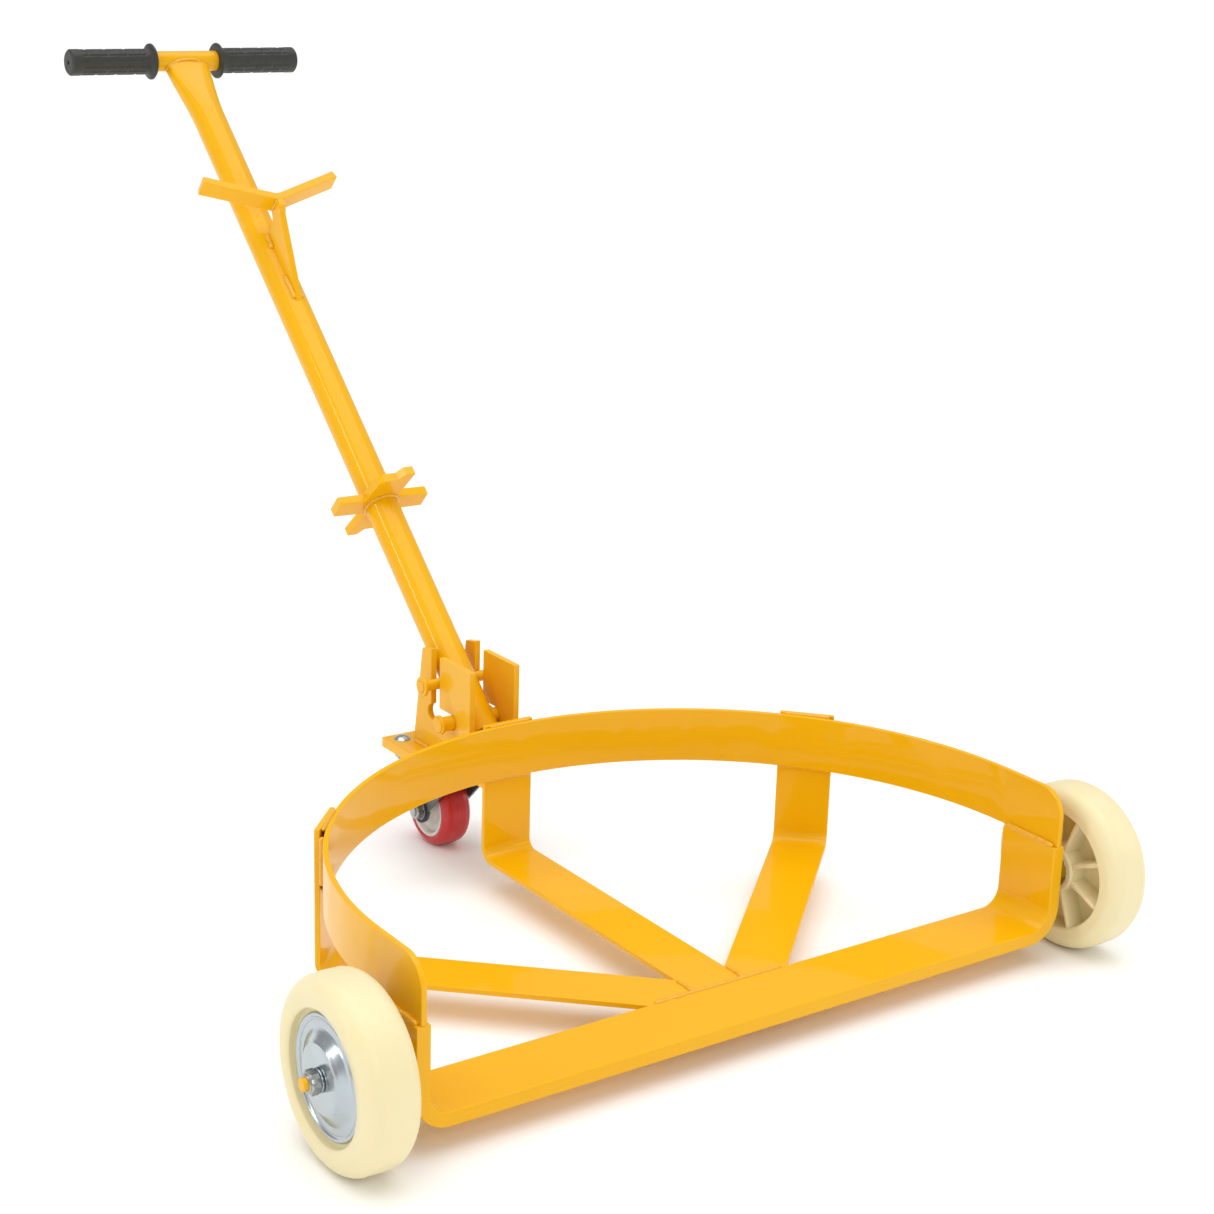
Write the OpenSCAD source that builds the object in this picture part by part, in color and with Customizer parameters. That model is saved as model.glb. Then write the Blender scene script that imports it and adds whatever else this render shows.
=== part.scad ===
// Three-wheel drum dolly: a low steel ring on struts, two large side wheels,
// a swivel caster behind and a lift-off tee handle hooked into slotted plates.
// Millimetres, +Z up. The modules measure from the floor under the centre of the
// ring; in_frame() then moves the origin to the floor under the middle of the whole.

/* [Ring and frame] */
// Inside diameter of the ring that a 200-litre drum stands in
ring_inner_d = 635; // [600:1:680]
// Thickness of the ring's flat bar
band_t = 4.8; // [4:0.1:8]
// Height of the ring's flat bar
band_h = 51; // [35:1:65]
// Height of the ring's top edge above the floor
ring_top = 161; // [150:1:185]
// Straight length of the ring's ends in front of its centre
ring_leg = 68; // [66:1:82]
// Radius of the ring's front top corners
band_corner_r = 25; // [10:1:34]

/* [Front bar] */
// Width of the front bar, front to back
bar_w = 63.5; // [50:0.5:66]
// Thickness of the front bar
bar_t = 12; // [8:0.5:14]
// Height of the front bar's underside above the floor
bar_ground = 22.4; // [20:0.1:28]
// Inside radius where the front bar is bent up
bar_bend_r = 18; // [6:1:20]

/* [Struts] */
// Width of the three flat struts
strut_w = 51; // [40:1:56]
// Thickness of the three flat struts
strut_t = 4.8; // [4:0.1:6]
// Height of the struts' top face above the floor
strut_top = 34; // [30:0.5:34]
// Angle between the side struts and the axles
strut_dir = 43; // [38:0.5:50]
// Distance in front of the ring's centre where the struts' middle lines meet
strut_meet = 36; // [20:1:44]

/* [Side wheels] */
// Diameter of the side wheels
wheel_d = 150; // [138:1:156]
// Width of the side wheels
wheel_w = 46; // [40:1:52]
// Distance of the wheel axle behind the front edge of the front bar
axle_back = 27; // [24:1:34]
// Diameter of the axle where the wheel turns
axle_d = 12.7; // [10:0.1:14]

/* [Caster] */
// Diameter of the caster wheel
caster_d = 76; // [68:1:78]
// Width of the caster wheel's tread
caster_w = 32; // [26:1:33]
// Distance from the swivel axis back to the caster axle
caster_trail = 27; // [20:1:30]
// Distance of the swivel axis behind the outside of the ring
swivel_back = 95.7; // [90:0.1:105]

/* [Handle] */
// Lean of the handle above the floor, in degrees
handle_angle = 42.5; // [40:0.5:46]
// Length from the lower rod to the crossbar
handle_len = 830; // [700:5:900]
// Outside diameter of the handle tube
tube_d = 33.4; // [28:0.1:36]
// Wall of the handle tube
tube_wall = 3.2; // [2:0.1:4]
// Outside diameter of the crossbar
cross_d = 21.3; // [19:0.1:24]
// Length of the crossbar
cross_len = 254; // [220:1:300]

/* [Hook plates] */
// Clear distance between the two hook plates
hook_gap = 42; // [38:0.5:46]
// Thickness of the hook plates
hook_t = 6; // [5:0.5:8]
// Width of the slots for the handle's rods
slot_w = 15; // [14.6:0.1:16]
// Diameter of the lower rod
lower_rod_d = 14; // [12:0.1:14.2]
// Diameter of the upper rod
upper_rod_d = 10.5; // [9:0.1:11]
// Distance between the two rods, along the handle
rod_pitch = 42.5; // [40:0.5:45]

/* [Fits] */
// Radial running clearance of every bore that turns on a pin
run_fit = 0.05; // [0.02:0.01:0.1]
// Gap between pieces that move past each other
part_gap = 0.3; // [0.2:0.05:0.6]

/* [Hidden] */
$fn = 96;
over = 1;
in = 25.4;

ring_ir = ring_inner_d / 2;
ring_or = ring_ir + band_t;
ring_bottom = ring_top - band_h;

bar_front = -ring_leg;
bar_rear = bar_front + bar_w;
bar_top = bar_ground + bar_t;
upright_out = ring_ir + band_t / 2 + bar_t / 2;

strut_bottom = strut_top - strut_t;
strut_bend_r = 10;
strut_bend_or = strut_bend_r + strut_t;
strut_proud = 1.5;
strut_flat_r = ring_or - strut_bend_r;

wheel_r = wheel_d / 2;
axle_y = bar_front + axle_back;
axle_shoulder_d = 20;
wheel_gap = 17.8;
wheel_inner = upright_out + wheel_gap;
tread_round = 15;
rim_outer_r = 51.5;
rim_inner_r = 54;
outer_recess = 7;
inner_recess = 20;
wheel_hub_r = 21;
wheel_rib_t = 4;
wheel_ribs = 8;
bearing_r = 16;
bearing_w = 10;
cap_r = 48.4;
cap_t = 1.5;
cap_rise = 6.5;
cap_disc_r = 27.6;
cap_foot_r = 36;
washer_t = 1.6;
washer_r = 9.5;
thread_d = 10;
axle_nut_af = 17;
axle_nut_t = 9;
axle_proud = 3.5;

mount_t = 3 / 8 * in;
mount_top = ring_bottom;
bolt_head_r = 8.2;
bolt_head_h = 3.8;
bolt_gap = 0.3;
bolt_dx = hook_gap / 2 + hook_t + bolt_gap + bolt_head_r;
bolt_dy = 38;
bolt_edge = 14.5;
mount_half_w = bolt_dx + bolt_edge;
swivel_y = ring_or + swivel_back;
mount_rear = swivel_y + 52;
bolt_d = 5 / 16 * in;
bolt_nut_af = 12.7;
bolt_nut_t = 6.9;

caster_plate_t = 3;
caster_plate_w = 2 * (bolt_dx + 7.5);
caster_plate_l = 100;
caster_plate_top = mount_top - mount_t;
caster_plate_bottom = caster_plate_top - caster_plate_t;
race_r = 21;
ball_r = 2.1;
ball_count = 14;
race_boss_r = 27;
race_boss_h = 3;
ball_gap = 0.1;
crown_top = caster_plate_bottom - race_boss_h - 2 * ball_r - 2 * ball_gap;
crown_t = 6;
crown_plate_t = 3;
kingpin_r = 6;
kingpin_head_r = 10;
kingpin_head_t = 3;
fork_t = 3;
fork_inner = caster_w / 2 + 2.5;
fork_half_y = 23;
fork_end_r = 13;
caster_axle_y = swivel_y + caster_trail;
caster_r = caster_d / 2;
caster_core_r = 28;
caster_hub_r = 12;
caster_hub_gap = 0.8;
caster_bolt_r = 5;
caster_bearing_r = 9.5;
caster_bearing_w = 7;
caster_washer_r = 10;
caster_nut_af = 16;
caster_nut_t = 6.5;
caster_proud = 1;
caster_tread_round = 5;

tube_r = tube_d / 2;
rod_z = mount_top + 38.5;
slot_run = 35.7;
slot_rest_gap = 0.65;
upper_rod_dy = rod_pitch * cos(handle_angle);
slot_rear_y = swivel_y - 0.8;
rod_y = slot_rear_y - slot_rest_gap - upper_rod_d / 2 - upper_rod_dy;
slot_front_y = slot_rear_y - slot_w;
hook_front_y = rod_y - 32;
mount_front_y = hook_front_y - 3;
hook_foot_rear_y = slot_rear_y + 32;
hook_top_rear_y = slot_rear_y + 17;
front_horn_top = mount_top + 96;
rear_horn_top = mount_top + 100.5;
rear_horn_drop = 3.5;
rod_washer_r = 9.3;
rod_washer_t = 3;
rod_washer_in = hook_gap / 2 + hook_t + 11.5;
rod_half = rod_washer_in + rod_washer_t + 1;
tube_foot = 18;
fish_start = handle_len - 75;
fish_end = handle_len - 8;
fish_w = 47;
fish_t = 17;
cross_wall = 2.6;
grip_in = 36.5;
grip_flange_t = 6;
grip_flange_r = 19;
grip_r = 13.5;
grip_cap_t = 4;
grip_hole_r = 2;

wrench_z = 245;
wrench_t = 9;
v_height = 19;
v_offset = 42;
v_front = 583.6;
v_half = 76;
v_angle = 19.6;
v_t = 8.5;
v_bend_r = 10;
v_bend_steps = 12;
gusset_t = 1 / 4 * in;
gusset_foot = 487.6;
gusset_slope_n = 54;
gusset_slope_s = 570;
gusset_nose_s = 576;
gusset_ledge = 588;
gusset_notch_r = 14;
gusset_notch_n = 28;

front_y = axle_y - wheel_r;
rear_y = rod_y + handle_len * cos(handle_angle) + grip_flange_r;
middle_y = (front_y + rear_y) / 2;

paint = "#f5b31c";
zinc = "#b9bcb8";
nylon = "#efe4bf";
rubber = "#33312e";
urethane = "#b9272b";
fork_grey = "#5a5c5f";

// Moves children so that the origin is under the middle of the whole dolly.
module in_frame() {
    translate([0, -middle_y, 0])
        children();
}

// Places children on the handle: local +Z runs up the tube from the lower rod
// and local -Y faces the front upper side of the tube.
module on_handle() {
    translate([0, rod_y, rod_z])
        rotate([handle_angle - 90, 0, 0])
            children();
}

// Places children with local +Z pointing out along the right wheel's axle,
// starting at the wheel's inner face.
module on_right_axle() {
    translate([wheel_inner, axle_y, wheel_r])
        rotate([0, 90, 0])
            children();
}

// Extrudes a shape drawn as [y, z] along X by t, centred.
module yz_plate(t) {
    rotate([90, 0, 90])
        linear_extrude(t, center = true)
            children();
}

// A U outline with rounded lower corners: half width hw, from z0 to z1.
module u_outline(hw, z0, z1, r) {
    translate([-hw + r, z0])
        square([2 * (hw - r), r]);
    translate([-hw, z0 + r])
        square([2 * hw, z1 - z0 - r]);
    for (side = [-1, 1])
        translate([side * (hw - r), z0 + r])
            circle(r);
}

module hex_nut(af, t, bore_r) {
    difference() {
        cylinder(h = t, d = af / cos(30), $fn = 6);
        translate([0, 0, -over])
            cylinder(h = t + 2 * over, r = bore_r);
    }
}

module disc_washer(r, t, bore_r) {
    difference() {
        cylinder(h = t, r = r);
        translate([0, 0, -over])
            cylinder(h = t + 2 * over, r = bore_r);
    }
}

// ---- Carriage ----

module ring_outline(r) {
    circle(r, $fn = 180);
    translate([-r, -ring_leg])
        square([2 * r, ring_leg]);
}

module ring_band() {
    color(paint)
    in_frame()
        difference() {
            translate([0, 0, ring_bottom])
                linear_extrude(band_h)
                    difference() {
                        intersection() {
                            ring_outline(ring_or);
                            translate([-ring_or, -ring_leg])
                                square([2 * ring_or, ring_leg + ring_or]);
                        }
                        ring_outline(ring_ir);
                        translate([-ring_ir, -ring_leg - over])
                            square([2 * ring_ir, ring_leg + over]);
                    }
            difference() {
                translate([-ring_or - over, -ring_leg - over, ring_top - band_corner_r])
                    cube([2 * (ring_or + over), band_corner_r + over, band_corner_r + over]);
                translate([0, -ring_leg + band_corner_r, ring_top - band_corner_r])
                    rotate([0, 90, 0])
                        cylinder(h = 2 * (ring_or + 2 * over), r = band_corner_r, center = true);
            }
        }
}

module front_bar() {
    color(paint)
    in_frame()
        translate([0, bar_rear, 0])
            rotate([90, 0, 0])
                linear_extrude(bar_w)
                    difference() {
                        u_outline(upright_out, bar_ground, ring_bottom, bar_bend_r + bar_t);
                        u_outline(upright_out - bar_t, bar_top, ring_bottom + over, bar_bend_r);
                    }
}

// A strut seen from its side: floor part of length run, bend and upright leg,
// as [outwards, up] from the ring's centre.
module strut_profile(run) {
    translate([ring_or, strut_bottom + strut_bend_or])
        square([strut_t, ring_top + strut_proud - strut_bottom - strut_bend_or]);
    intersection() {
        translate([strut_flat_r, strut_bottom + strut_bend_or])
            difference() {
                circle(strut_bend_or);
                circle(strut_bend_r);
            }
        translate([strut_flat_r, strut_bottom])
            square(strut_bend_or);
    }
    translate([strut_flat_r - run, strut_bottom])
        square([run, strut_t]);
}

// A strut running outwards along +X.
module strut(run) {
    rotate([90, 0, 0])
        linear_extrude(strut_w, center = true)
            strut_profile(run);
}

module side_strut() {
    difference() {
        rotate([0, 0, strut_dir])
            translate([0, -strut_meet * cos(strut_dir), 0])
                strut(strut_flat_r + bar_w);
        translate([strut_w / 2 - 2 * ring_or, -ring_or, 0])
            cube([2 * ring_or, 2 * ring_or, ring_bottom]);
        translate([-ring_or, bar_rear - 2 * ring_or, 0])
            cube([2 * ring_or, 2 * ring_or, ring_bottom]);
    }
}

module rear_strut() {
    color(paint)
    in_frame()
        rotate([0, 0, 90])
            strut(strut_flat_r - bar_rear);
}

module right_strut() {
    color(paint)
    in_frame()
        side_strut();
}

module left_strut() {
    color(paint)
    in_frame()
        mirror([1, 0, 0])
            side_strut();
}

module at_bolts() {
    for (sx = [-1, 1])
        for (sy = [-1, 1])
            translate([sx * bolt_dx, swivel_y + sy * bolt_dy, 0])
                children();
}

module caster_mount_plate() {
    tongue = strut_w / 2;
    tongue_y = ring_or + strut_t;
    color(paint)
    in_frame()
        difference() {
            translate([0, 0, caster_plate_top])
                linear_extrude(mount_t)
                    polygon([
                        [-tongue, tongue_y], [tongue, tongue_y],
                        [tongue, mount_front_y], [mount_half_w, mount_front_y],
                        [mount_half_w, mount_rear], [-mount_half_w, mount_rear],
                        [-mount_half_w, mount_front_y], [-tongue, mount_front_y],
                    ]);
            at_bolts()
                translate([0, 0, caster_plate_top - over])
                    cylinder(h = mount_t + 2 * over, r = bolt_d / 2 + run_fit);
        }
}

module hook_outline() {
    slot_r = slot_w / 2;
    difference() {
        polygon([
            [hook_front_y, mount_top], [hook_foot_rear_y, mount_top],
            [hook_top_rear_y, rear_horn_top - rear_horn_drop],
            [slot_rear_y, rear_horn_top], [slot_front_y, rear_horn_top],
            [slot_front_y, front_horn_top], [hook_front_y, front_horn_top],
        ]);
        translate([slot_front_y, rod_z])
            square([slot_w, rear_horn_top]);
        translate([rod_y, rod_z - slot_r])
            square([slot_run, slot_w]);
        translate([rod_y, rod_z])
            circle(slot_r);
        translate([rod_y + slot_run, rod_z])
            circle(slot_r);
    }
}

module hook_plate(side) {
    color(paint)
    in_frame()
        translate([side * (hook_gap + hook_t) / 2, 0, 0])
            yz_plate(hook_t)
                hook_outline();
}

module hook_plate_left() {
    hook_plate(-1);
}

module hook_plate_right() {
    hook_plate(1);
}

cap_top = wheel_w - outer_recess + cap_t + cap_rise;
washer_from = cap_top + part_gap;
nut_from = washer_from + washer_t;
axle_end = nut_from + axle_nut_t + axle_proud;

module axle_stub() {
    shoulder = wheel_gap - part_gap;
    color(paint)
    in_frame()
        on_right_axle() {
            translate([0, 0, -wheel_gap])
                cylinder(h = shoulder, d = axle_shoulder_d);
            translate([0, 0, -part_gap])
                cylinder(h = washer_from + part_gap, d = axle_d);
            cylinder(h = axle_end, d = thread_d);
        }
}

module axle_stub_right() {
    axle_stub();
}

module axle_stub_left() {
    mirror([1, 0, 0])
        axle_stub();
}

module both_sides() {
    children();
    mirror([1, 0, 0])
        children();
}

module axle_washers() {
    color(zinc)
    in_frame()
        both_sides()
            on_right_axle()
                translate([0, 0, washer_from])
                    disc_washer(washer_r, washer_t, thread_d / 2 + run_fit);
}

module axle_nuts() {
    color(zinc)
    in_frame()
        both_sides()
            on_right_axle()
                translate([0, 0, nut_from])
                    hex_nut(axle_nut_af, axle_nut_t, thread_d / 2 + run_fit);
}

module carriage_bolts() {
    dome_r = (bolt_head_r * bolt_head_r + bolt_head_h * bolt_head_h) / (2 * bolt_head_h);
    color(zinc)
    in_frame()
        at_bolts() {
            intersection() {
                translate([0, 0, mount_top + bolt_head_h - dome_r])
                    sphere(dome_r, $fn = 64);
                translate([0, 0, mount_top])
                    cylinder(h = bolt_head_h + over, r = bolt_head_r);
            }
            translate([0, 0, caster_plate_bottom - bolt_nut_t - axle_proud])
                cylinder(h = mount_top - caster_plate_bottom + bolt_nut_t + axle_proud + 1,
                         d = bolt_d, $fn = 48);
        }
}

module caster_bolt_nuts() {
    color(zinc)
    in_frame()
        at_bolts()
            translate([0, 0, caster_plate_bottom - bolt_nut_t])
                hex_nut(bolt_nut_af, bolt_nut_t, bolt_d / 2 + run_fit, $fn = 48);
}

module caster_top_plate() {
    color(zinc)
    in_frame()
        difference() {
            union() {
                translate([-caster_plate_w / 2, swivel_y - caster_plate_l / 2, caster_plate_bottom])
                    cube([caster_plate_w, caster_plate_l, caster_plate_t]);
                translate([0, swivel_y, caster_plate_bottom - race_boss_h])
                    cylinder(h = race_boss_h + 0.5, r = race_boss_r);
            }
            at_bolts()
                translate([0, 0, caster_plate_bottom - over])
                    cylinder(h = caster_plate_t + 2 * over, r = bolt_d / 2 + run_fit, $fn = 48);
            translate([0, swivel_y, crown_top])
                cylinder(h = 2 * caster_plate_top, r = kingpin_r + run_fit);
        }
}

module caster_kingpin() {
    bottom = crown_top - crown_t - kingpin_head_t - part_gap;
    color(zinc)
    in_frame()
        translate([0, swivel_y, bottom]) {
            cylinder(h = kingpin_head_t, r = kingpin_head_r);
            cylinder(h = caster_plate_top - bottom, r = kingpin_r);
        }
}

// ---- Side wheels ----

module wheel_outline() {
    r0 = wheel_r - tread_round;
    translate([0, 0])
        square([r0, wheel_w]);
    translate([0, tread_round])
        square([wheel_r, wheel_w - 2 * tread_round]);
    for (z = [tread_round, wheel_w - tread_round])
        translate([r0, z])
            circle(tread_round);
}

module nylon_wheel() {
    web_top = wheel_w - outer_recess;
    color(nylon)
    in_frame()
        on_right_axle()
            difference() {
                rotate_extrude()
                    intersection() {
                        wheel_outline();
                        square([2 * wheel_r, wheel_w]);
                    }
                translate([0, 0, web_top])
                    cylinder(h = outer_recess + over, r = rim_outer_r);
                difference() {
                    translate([0, 0, -over])
                        cylinder(h = inner_recess + over, r = rim_inner_r);
                    translate([0, 0, -2 * over])
                        cylinder(h = inner_recess + 3 * over, r = wheel_hub_r);
                    for (i = [0:wheel_ribs - 1])
                        rotate([0, 0, i * 360 / wheel_ribs])
                            translate([0, -wheel_rib_t / 2, 6])
                                cube([wheel_r, wheel_rib_t, wheel_w]);
                }
                translate([0, 0, -over])
                    cylinder(h = bearing_w + over, r = bearing_r);
                translate([0, 0, web_top - bearing_w])
                    cylinder(h = bearing_w + over, r = bearing_r);
                cylinder(h = wheel_w, r = bearing_r - 4);
            }
}

module hub_cap() {
    base = wheel_w - outer_recess;
    disc_z = base + cap_rise;
    color(zinc)
    in_frame()
        on_right_axle()
            rotate_extrude()
                polygon([
                    [axle_d / 2 + part_gap, disc_z], [cap_disc_r, disc_z],
                    [cap_foot_r, base], [cap_r, base], [cap_r, base + cap_t],
                    [cap_foot_r + cap_t, base + cap_t], [cap_disc_r + cap_t, disc_z + cap_t],
                    [axle_d / 2 + part_gap, disc_z + cap_t],
                ]);
}

module bearing_pair() {
    color(zinc)
    in_frame()
        on_right_axle()
            for (z = [0, wheel_w - outer_recess - bearing_w])
                translate([0, 0, z])
                    disc_washer(bearing_r - 0.02, bearing_w - 0.2, axle_d / 2 + run_fit);
}

module wheel_right() {
    nylon_wheel();
}

module hub_cap_right() {
    hub_cap();
}

module wheel_bearings_right() {
    bearing_pair();
}

module wheel_left() {
    mirror([1, 0, 0])
        nylon_wheel();
}

module hub_cap_left() {
    mirror([1, 0, 0])
        hub_cap();
}

module wheel_bearings_left() {
    mirror([1, 0, 0])
        bearing_pair();
}

// ---- Caster ----

module fork_side_outline() {
    crown_low = crown_top - crown_t;
    polygon([
        [swivel_y - fork_half_y, crown_low + crown_plate_t],
        [swivel_y - fork_half_y, crown_low - 8],
        [caster_axle_y - fork_end_r, caster_r + 2],
        [caster_axle_y - fork_end_r * sin(40), caster_r - fork_end_r * cos(40)],
        [caster_axle_y + fork_end_r * sin(60), caster_r - fork_end_r * cos(60)],
        [caster_axle_y + fork_end_r, caster_r + 2],
        [swivel_y + fork_half_y, crown_low - 8],
        [swivel_y + fork_half_y, crown_low + crown_plate_t],
    ]);
    translate([caster_axle_y, caster_r])
        circle(fork_end_r);
}

module caster_fork() {
    crown_low = crown_top - crown_t;
    color(fork_grey)
    in_frame()
        difference() {
            union() {
                translate([0, swivel_y, crown_low])
                    cylinder(h = crown_t, r = race_boss_r);
                translate([-fork_inner - fork_t, swivel_y - fork_half_y, crown_low])
                    cube([2 * (fork_inner + fork_t), 2 * fork_half_y, crown_plate_t]);
                for (side = [-1, 1])
                    translate([side * (fork_inner + fork_t / 2), 0, 0])
                        yz_plate(fork_t)
                            fork_side_outline();
            }
            translate([0, swivel_y, crown_low - over])
                cylinder(h = crown_t + 2 * over, r = kingpin_r + run_fit);
            translate([0, caster_axle_y, caster_r])
                rotate([0, 90, 0])
                    cylinder(h = 4 * fork_inner, r = caster_bolt_r + run_fit, center = true);
        }
}

module swivel_balls() {
    color(zinc)
    in_frame()
        translate([0, swivel_y, crown_top + ball_gap + ball_r])
            for (i = [0:ball_count - 1])
                rotate([0, 0, i * 360 / ball_count])
                    translate([race_r, 0, 0])
                        sphere(ball_r, $fn = 32);
}

// Places children with local +Z along +X at the middle of the caster wheel.
module on_caster_axle() {
    translate([0, caster_axle_y, caster_r])
        rotate([0, 90, 0])
            children();
}

caster_bolt_out = fork_inner + fork_t + washer_t + caster_nut_t + caster_proud;
caster_bolt_head_in = fork_inner + fork_t + washer_t;

module caster_axle_bolt() {
    color(zinc)
    in_frame()
        on_caster_axle() {
            translate([0, 0, -caster_bolt_out])
                cylinder(h = caster_bolt_out + caster_bolt_head_in, r = caster_bolt_r, $fn = 48);
            translate([0, 0, caster_bolt_head_in])
                cylinder(h = caster_nut_t - 2, d = caster_nut_af / cos(30), $fn = 6);
        }
}

module caster_axle_washers() {
    color(zinc)
    in_frame()
        on_caster_axle()
            for (z = [fork_inner + fork_t, -fork_inner - fork_t - washer_t])
                translate([0, 0, z])
                    disc_washer(caster_washer_r, washer_t, caster_bolt_r + run_fit, $fn = 48);
}

module caster_axle_nut() {
    color(zinc)
    in_frame()
        on_caster_axle()
            translate([0, 0, -fork_inner - fork_t - washer_t - caster_nut_t])
                hex_nut(caster_nut_af, caster_nut_t, caster_bolt_r + run_fit, $fn = 48);
}

module caster_core() {
    hub_half = fork_inner - caster_hub_gap;
    color("#d8d2c6")
    in_frame()
        on_caster_axle()
            difference() {
                union() {
                    cylinder(h = 8, r = caster_core_r, center = true);
                    difference() {
                        cylinder(h = caster_w - 2, r = caster_core_r, center = true);
                        cylinder(h = caster_w, r = caster_core_r - 4, center = true);
                    }
                    cylinder(h = 2 * hub_half, r = caster_hub_r, center = true);
                }
                cylinder(h = 3 * hub_half, r = caster_bearing_r - 2.5, center = true);
                for (side = [-1, 1])
                    translate([0, 0, side * hub_half])
                        cylinder(h = 2 * caster_bearing_w, r = caster_bearing_r, center = true);
            }
}

module caster_bearings() {
    hub_half = fork_inner - caster_hub_gap;
    color(zinc)
    in_frame()
        on_caster_axle()
            for (z = [-hub_half, hub_half - caster_bearing_w + 0.2])
                translate([0, 0, z])
                    disc_washer(caster_bearing_r - 0.02, caster_bearing_w - 0.2,
                                caster_bolt_r + run_fit, $fn = 48);
}

module caster_tread() {
    r0 = caster_r - caster_tread_round;
    half = caster_w / 2;
    color(urethane)
    in_frame()
        on_caster_axle()
            rotate_extrude() {
                translate([caster_core_r, -half])
                    square([r0 - caster_core_r, caster_w]);
                translate([r0, -half + caster_tread_round])
                    square([caster_tread_round, caster_w - 2 * caster_tread_round]);
                for (side = [-1, 1])
                    intersection() {
                        translate([r0, side * (half - caster_tread_round)])
                            circle(caster_tread_round);
                        translate([r0, -half])
                            square([caster_tread_round, caster_w]);
                    }
            }
}

// ---- Handle ----

module cross_rod(d, clearance = 0) {
    rotate([0, 90, 0])
        cylinder(h = 2 * rod_half, r = d / 2 + clearance, center = true);
}

module rod_washers(z, d) {
    color(paint)
    in_frame()
        on_handle()
            for (side = [-1, 1])
                translate([side * rod_washer_in - (side < 0 ? rod_washer_t : 0), 0, z])
                    rotate([0, 90, 0])
                        disc_washer(rod_washer_r, rod_washer_t, d / 2 + run_fit);
}

module lower_rod() {
    color(paint)
    in_frame()
        on_handle()
            cross_rod(lower_rod_d);
}

module lower_rod_washers() {
    rod_washers(0, lower_rod_d);
}

module upper_rod() {
    color(paint)
    in_frame()
        on_handle()
            translate([0, 0, rod_pitch])
                cross_rod(upper_rod_d);
}

module upper_rod_washers() {
    rod_washers(rod_pitch, upper_rod_d);
}

module fish_tail() {
    hull() {
        translate([0, 0, fish_start])
            cylinder(h = 1, r = tube_r, $fn = 64);
        translate([0, 0, fish_end])
            for (side = [-1, 1])
                translate([side * (fish_w - fish_t) / 2, 0, 0])
                    cylinder(h = 1, d = fish_t, $fn = 32);
    }
}

module handle_tube() {
    color(paint)
    in_frame()
        on_handle()
            difference() {
                union() {
                    translate([0, 0, -tube_foot])
                        cylinder(h = tube_foot + fish_start + 0.5, r = tube_r);
                    fish_tail();
                }
                translate([0, 0, -tube_foot - over])
                    cylinder(h = tube_foot + fish_start, r = tube_r - tube_wall);
                cross_rod(lower_rod_d, run_fit);
                translate([0, 0, rod_pitch])
                    cross_rod(upper_rod_d, run_fit);
                translate([0, 0, handle_len])
                    rotate([0, 90, 0])
                        cylinder(h = 2 * fish_w, d = cross_d, center = true);
            }
}

module crossbar() {
    color(paint)
    in_frame()
        on_handle()
            translate([0, 0, handle_len])
                rotate([0, 90, 0])
                    difference() {
                        cylinder(h = cross_len, d = cross_d, center = true);
                        cylinder(h = cross_len + over, d = cross_d - 2 * cross_wall, center = true);
                    }
}

module grip() {
    sleeve = cross_len / 2 - grip_in;
    total = sleeve + grip_cap_t;
    color(rubber)
    in_frame()
        on_handle()
            translate([grip_in, 0, handle_len])
                rotate([0, 90, 0])
                    difference() {
                        union() {
                            cylinder(h = grip_flange_t, r = grip_flange_r);
                            cylinder(h = total - 2, r = grip_r);
                            translate([0, 0, total - 2])
                                cylinder(h = 2, r1 = grip_r, r2 = grip_r - 2);
                        }
                        translate([0, 0, -over])
                            cylinder(h = sleeve + over, d = cross_d);
                        cylinder(h = total + over, r = grip_hole_r);
                    }
}

module grip_right() {
    grip();
}

module grip_left() {
    mirror([1, 0, 0])
        grip();
}

// Half of the bung wrench's outline as [x, towards the front of the tube]:
// one end of the long bar, then the block and its prong. Turned half round it
// gives the other half.
wrench_half = [
    [-49, 10], [-21, 10], [-17, 38], [-12, 42], [3, 42], [9, 50], [19, 50], [13, 12], [49, 10],
];

module wrench_outline() {
    polygon(concat(wrench_half, [for (p = wrench_half) [-p[0], -p[1]]]));
}

module bung_wrench() {
    color(paint)
    in_frame()
        on_handle()
            translate([0, 0, wrench_z])
                difference() {
                    linear_extrude(wrench_t)
                        mirror([0, 1, 0])
                            wrench_outline();
                    translate([0, 0, -over])
                        cylinder(h = wrench_t + 2 * over, r = tube_r);
                }
}

// The bent bar seen along its width: the inside of the bend and both arms'
// tips, then the outside of the bend, as [x, up the tube].
function bend_arc(r, from, to) =
    [for (i = [0:v_bend_steps])
        let(a = from + (to - from) * i / v_bend_steps)
            [r * sin(a), -r * cos(a)]];

module v_outline() {
    outer = v_bend_r + v_t;
    arm = (v_half - outer * sin(v_angle)) / cos(v_angle);
    along = arm * [cos(v_angle), sin(v_angle)];
    out_end = outer * [sin(v_angle), -cos(v_angle)] + along;
    in_end = v_bend_r * [sin(v_angle), -cos(v_angle)] + along;
    polygon(concat(
        bend_arc(outer, -v_angle, v_angle), [out_end, in_end],
        bend_arc(v_bend_r, v_angle, -v_angle),
        [[-in_end[0], in_end[1]], [-out_end[0], out_end[1]]]
    ));
}

module v_arms() {
    color(paint)
    in_frame()
        on_handle()
            translate([0, -v_offset, v_front + v_bend_r + v_t])
                rotate([90, 0, 0])
                    linear_extrude(v_height)
                        v_outline();
}

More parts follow.
